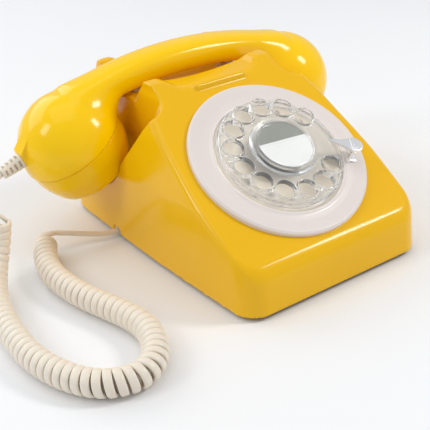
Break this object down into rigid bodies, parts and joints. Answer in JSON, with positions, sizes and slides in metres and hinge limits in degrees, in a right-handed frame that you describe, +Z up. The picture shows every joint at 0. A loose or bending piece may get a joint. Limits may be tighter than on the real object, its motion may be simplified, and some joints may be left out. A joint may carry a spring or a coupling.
{
  "type": "rotary desk telephone",
  "caption": "Rotary desk telephone: wedge-shaped case, clear finger wheel, handset resting in four horns, curly handset cord, full dial, ringer and hook mechanism inside.",
  "frame": {"origin": "centre of the case's footprint on the table, at the underside of the rubber feet", "axes": "+X to the right along the handset, +Y from the front edge to the back, +Z up"},
  "size_m": [0.286, 0.2054, 0.107],
  "materials": {
    "yellow_plastic": "high gloss moulded ABS, golden yellow",
    "black_plastic": "satin black moulding",
    "black_rubber": "matt black rubber",
    "zinc_steel": "zinc plated steel",
    "ivory_plastic": "satin gloss, pale pinkish ivory",
    "number_ring_plastic": "pale beige with dark numerals",
    "clear_acrylic": "clear moulded acrylic, polished",
    "printed_card": "off-white card with a grey-green upper segment",
    "chrome": "polished chrome plate",
    "brass": "turned brass",
    "nylon": "natural nylon",
    "phenolic": "brown phenolic stack with nickel springs",
    "circuit_board": "green laminate with soldered parts",
    "winding": "enamelled copper winding under lacquer",
    "aluminium_can": "drawn aluminium can",
    "gong_steel": "nickel plated bell steel",
    "cord_rubber": "cream flexible PVC"
  },
  "bodies": {
    "base": {"case": "yellow_plastic", "base_plate": "black_plastic", "feet": "black_rubber", "case_screws": "zinc_steel", "bezel": "ivory_plastic", "number_ring": "number_ring_plastic", "finger_stop": "chrome", "dial_frame": "zinc_steel", "dial_back_plate": "zinc_steel", "dial_screws": "zinc_steel", "pulse_contacts": "phenolic", "dial_spring": "zinc_steel", "governor_cup": "zinc_steel", "hook_springs": "zinc_steel", "hook_bracket": "zinc_steel", "hook_switch": "black_plastic", "circuit_board": "circuit_board", "board_screws": "zinc_steel", "induction_coil": "winding", "capacitor": "aluminium_can", "terminal_block": "black_plastic", "ringer_bracket": "zinc_steel", "ringer_yoke": "zinc_steel", "ringer_coils": "winding", "gongs": "gong_steel", "gong_posts": "zinc_steel", "gong_screws": "brass", "line_cord_gland": "cord_rubber", "handset_cord_grommet": "cord_rubber", "cord_lead": "cord_rubber", "cord_coil": "cord_rubber", "cord_tail": "cord_rubber"},
    "dial": {"finger_wheel": "clear_acrylic", "label_card": "printed_card", "label_cap": "clear_acrylic", "label_ring": "clear_acrylic", "dial_spindle": "zinc_steel", "main_gear": "brass", "pulse_cam": "nylon"},
    "governor": {"governor_shaft": "brass", "governor_weights": "brass"},
    "handset": {"handset_body": "yellow_plastic", "ear_cap": "yellow_plastic", "mouth_cap": "yellow_plastic", "receiver_capsule": "aluminium_can", "transmitter_capsule": "aluminium_can", "strain_relief": "cord_rubber"},
    "hook": {"hook_plungers": "black_plastic", "hook_bar": "zinc_steel"},
    "clapper": {"clapper": "zinc_steel"}
  },
  "joints": [
    {"name": "dial_spin", "type": "hinge", "parent": "base", "child": "dial", "pos_m": [0, -0.04196, 0.05956], "axis": [0, -0.5284, 0.849], "range_deg": [-336, 0], "stiffness_Nm_per_rad": 0.003, "springref_deg": 45.84},
    {"name": "governor_spin", "type": "hinge", "parent": "base", "child": "governor", "pos_m": [-0.02706, -0.05033, 0.05436], "axis": [0, -0.5284, 0.849], "range_deg": [-2, 1682]},
    {"name": "handset_lift", "type": "slide", "parent": "base", "child": "handset", "axis": [0, 0, 1], "range_m": [0, 0.12]},
    {"name": "hook_rise", "type": "slide", "parent": "base", "child": "hook", "axis": [0, 0, 1], "range_m": [0, 0.0061], "deforming": ["hook_springs"]},
    {"name": "clapper_swing", "type": "hinge", "parent": "base", "child": "clapper", "pos_m": [0, 0.024, 0.015], "axis": [0, 0, 1], "range_deg": [-3, 3], "stiffness_Nm_per_rad": 0.002}
  ],
  "couplings": [
    {"joint": "governor_spin", "follows": "dial_spin", "ratio": -5},
    {"joint": "hook_rise", "follows": "handset_lift", "ratio": 0.05}
  ]
}
